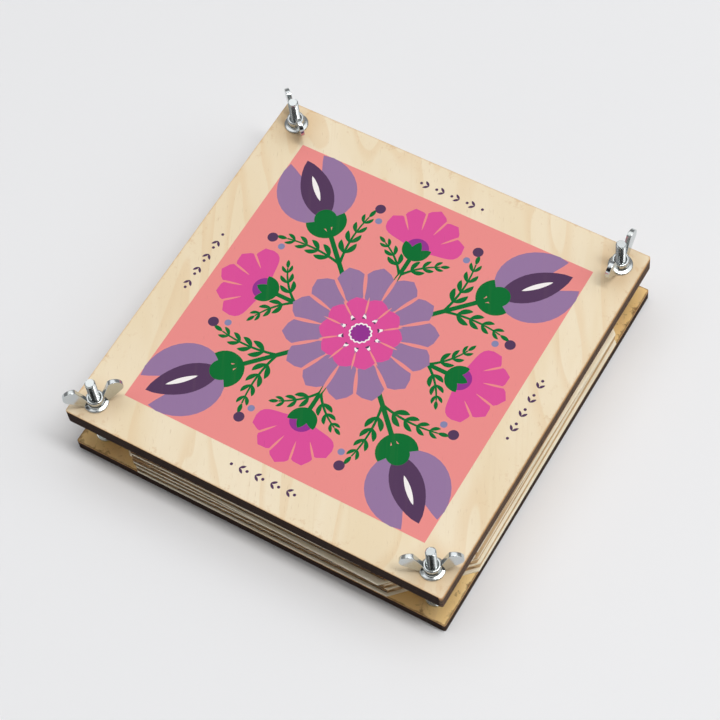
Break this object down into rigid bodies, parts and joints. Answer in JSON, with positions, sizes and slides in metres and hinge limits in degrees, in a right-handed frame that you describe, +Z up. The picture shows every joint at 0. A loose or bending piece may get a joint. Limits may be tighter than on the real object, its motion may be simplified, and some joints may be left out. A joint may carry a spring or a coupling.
{
  "type": "flower press",
  "caption": "Square flower press: plywood boards on four corner bolts, clamping a stack of corrugated cards and blotting papers with wing nuts, with a floral print on the top board",
  "frame": {"origin": "centre of the underside of the bottom board, on the surface that the press stands on", "axes": "+Z up; the front is the -Y side and the right is the +X side, so the boards' edges run along X and Y"},
  "size_m": [0.2028, 0.2052, 0.0532],
  "materials": {
    "plywood": "pale birch plywood, untreated, with laser-charred edges",
    "zinc_steel": "bright zinc-plated steel",
    "zinc_cast": "bright zinc-plated cast steel",
    "paper": "soft uncoated blotting paper",
    "card": "uncoated corrugated board"
  },
  "bodies": {
    "base": {"bottom_board": "plywood", "bolt_front_left": "zinc_steel", "washer_front_left": "zinc_steel", "lock_nut_front_left": "zinc_steel", "bolt_front_right": "zinc_steel", "washer_front_right": "zinc_steel", "lock_nut_front_right": "zinc_steel", "bolt_back_right": "zinc_steel", "washer_back_right": "zinc_steel", "lock_nut_back_right": "zinc_steel", "bolt_back_left": "zinc_steel", "washer_back_left": "zinc_steel", "lock_nut_back_left": "zinc_steel", "paper_1": "paper"},
    "top_board": {"top_board": "plywood"},
    "leaf_1": {"paper_2": "paper", "card_1": "card", "paper_3": "paper"},
    "leaf_2": {"paper_4": "paper", "card_2": "card", "paper_5": "paper"},
    "leaf_3": {"paper_6": "paper", "card_3": "card", "paper_7": "paper"},
    "leaf_4": {"paper_8": "paper", "card_4": "card", "paper_9": "paper"},
    "leaf_5": {"paper_10": "paper", "card_5": "card"},
    "wing_nut_front_left": {"wing_nut_front_left": "zinc_cast"},
    "wing_nut_front_right": {"wing_nut_front_right": "zinc_cast"},
    "wing_nut_back_right": {"wing_nut_back_right": "zinc_cast"},
    "wing_nut_back_left": {"wing_nut_back_left": "zinc_cast"}
  },
  "joints": [
    {"name": "wing_nut_front_left_turn", "type": "hinge", "parent": "top_board", "child": "wing_nut_front_left", "pos_m": [-0.0894, -0.0894, 0.035], "axis": [0, 0, 1], "range_deg": [0, 5760]},
    {"name": "wing_nut_front_right_turn", "type": "hinge", "parent": "top_board", "child": "wing_nut_front_right", "pos_m": [0.0894, -0.0894, 0.035], "axis": [0, 0, 1], "range_deg": [0, 5760]},
    {"name": "wing_nut_back_right_turn", "type": "hinge", "parent": "top_board", "child": "wing_nut_back_right", "pos_m": [0.0894, 0.0894, 0.035], "axis": [0, 0, 1], "range_deg": [0, 5760]},
    {"name": "wing_nut_back_left_turn", "type": "hinge", "parent": "top_board", "child": "wing_nut_back_left", "pos_m": [-0.0894, 0.0894, 0.035], "axis": [0, 0, 1], "range_deg": [0, 5760]},
    {"name": "top_board_lift", "type": "slide", "parent": "base", "child": "top_board", "axis": [0, 0, 1], "range_m": [0, 0.0128]},
    {"name": "leaf_1_lift", "type": "slide", "parent": "base", "child": "leaf_1", "axis": [0, 0, 1], "range_m": [0, 0.00256]},
    {"name": "leaf_2_lift", "type": "slide", "parent": "base", "child": "leaf_2", "axis": [0, 0, 1], "range_m": [0, 0.00512]},
    {"name": "leaf_3_lift", "type": "slide", "parent": "base", "child": "leaf_3", "axis": [0, 0, 1], "range_m": [0, 0.00768]},
    {"name": "leaf_4_lift", "type": "slide", "parent": "base", "child": "leaf_4", "axis": [0, 0, 1], "range_m": [0, 0.01024]},
    {"name": "leaf_5_lift", "type": "slide", "parent": "base", "child": "leaf_5", "axis": [0, 0, 1], "range_m": [0, 0.0128]}
  ],
  "couplings": [
    {"joint": "wing_nut_front_left_turn", "follows": "top_board_lift", "rad_per_m": 7854},
    {"joint": "wing_nut_front_right_turn", "follows": "top_board_lift", "rad_per_m": 7854},
    {"joint": "wing_nut_back_right_turn", "follows": "top_board_lift", "rad_per_m": 7854},
    {"joint": "wing_nut_back_left_turn", "follows": "top_board_lift", "rad_per_m": 7854},
    {"joint": "leaf_1_lift", "follows": "top_board_lift", "ratio": 0.2},
    {"joint": "leaf_2_lift", "follows": "top_board_lift", "ratio": 0.4},
    {"joint": "leaf_3_lift", "follows": "top_board_lift", "ratio": 0.6},
    {"joint": "leaf_4_lift", "follows": "top_board_lift", "ratio": 0.8},
    {"joint": "leaf_5_lift", "follows": "top_board_lift", "ratio": 1}
  ]
}
